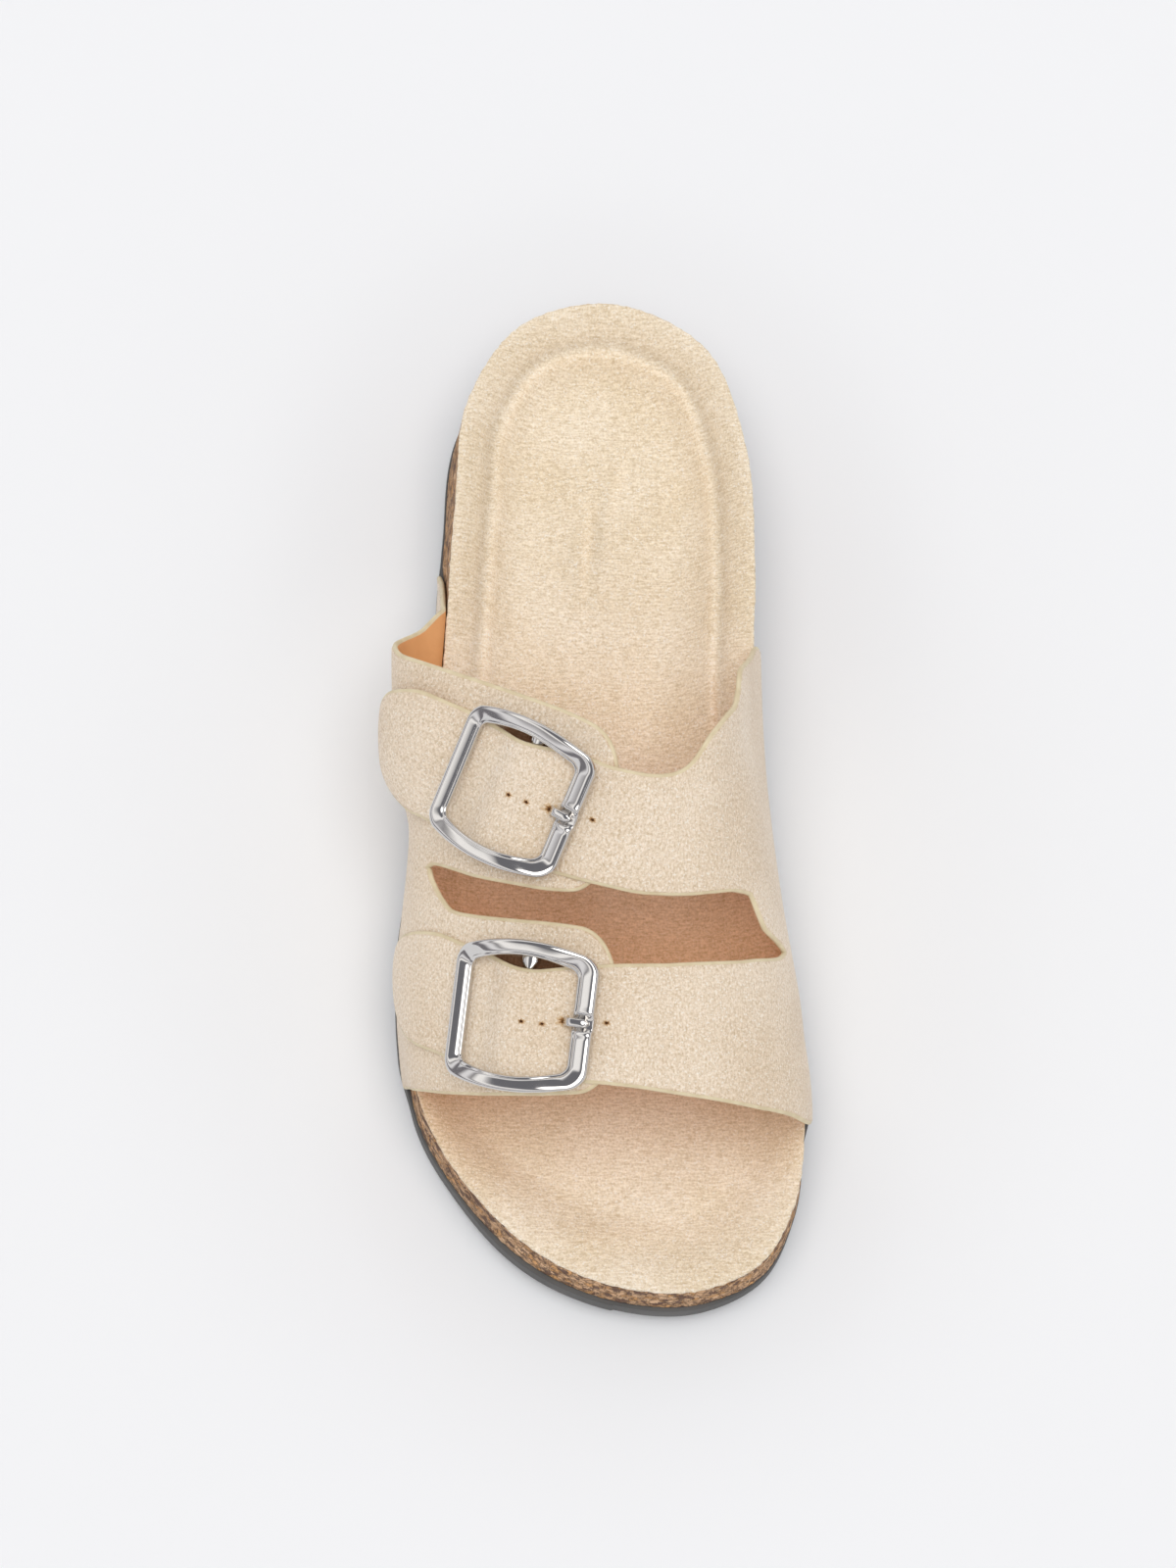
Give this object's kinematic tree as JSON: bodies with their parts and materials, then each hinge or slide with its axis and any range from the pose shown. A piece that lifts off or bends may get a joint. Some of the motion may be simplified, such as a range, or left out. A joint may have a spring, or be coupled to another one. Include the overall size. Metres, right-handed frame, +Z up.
{
  "type": "buckle mule",
  "caption": "Open-toe, open-heel slide with a moulded cork footbed, wide velour straps and bowed metal buckles on the outer side.",
  "frame": {"origin": "point on the floor under the middle of the shoe's length, on the outsole's flat underside", "axes": "+Z up from the floor, +Y from toe to heel, +X towards the inner side of the foot"},
  "size_m": [0.1055, 0.2527, 0.089],
  "materials": {
    "outsole": "matte dark grey foam rubber",
    "cork": "ground cork with dark flecks",
    "insole": "beige velour",
    "upper": "pale velour, tan lining",
    "metal": "polished nickel"
  },
  "bodies": {
    "root": {"outsole": "outsole", "cork_footbed": "cork", "insole": "insole", "upper": "upper", "buckle_frame_rear": "metal", "buckle_frame_front": "metal", "prong_rear": "metal", "prong_front": "metal"}
  },
  "joints": []
}
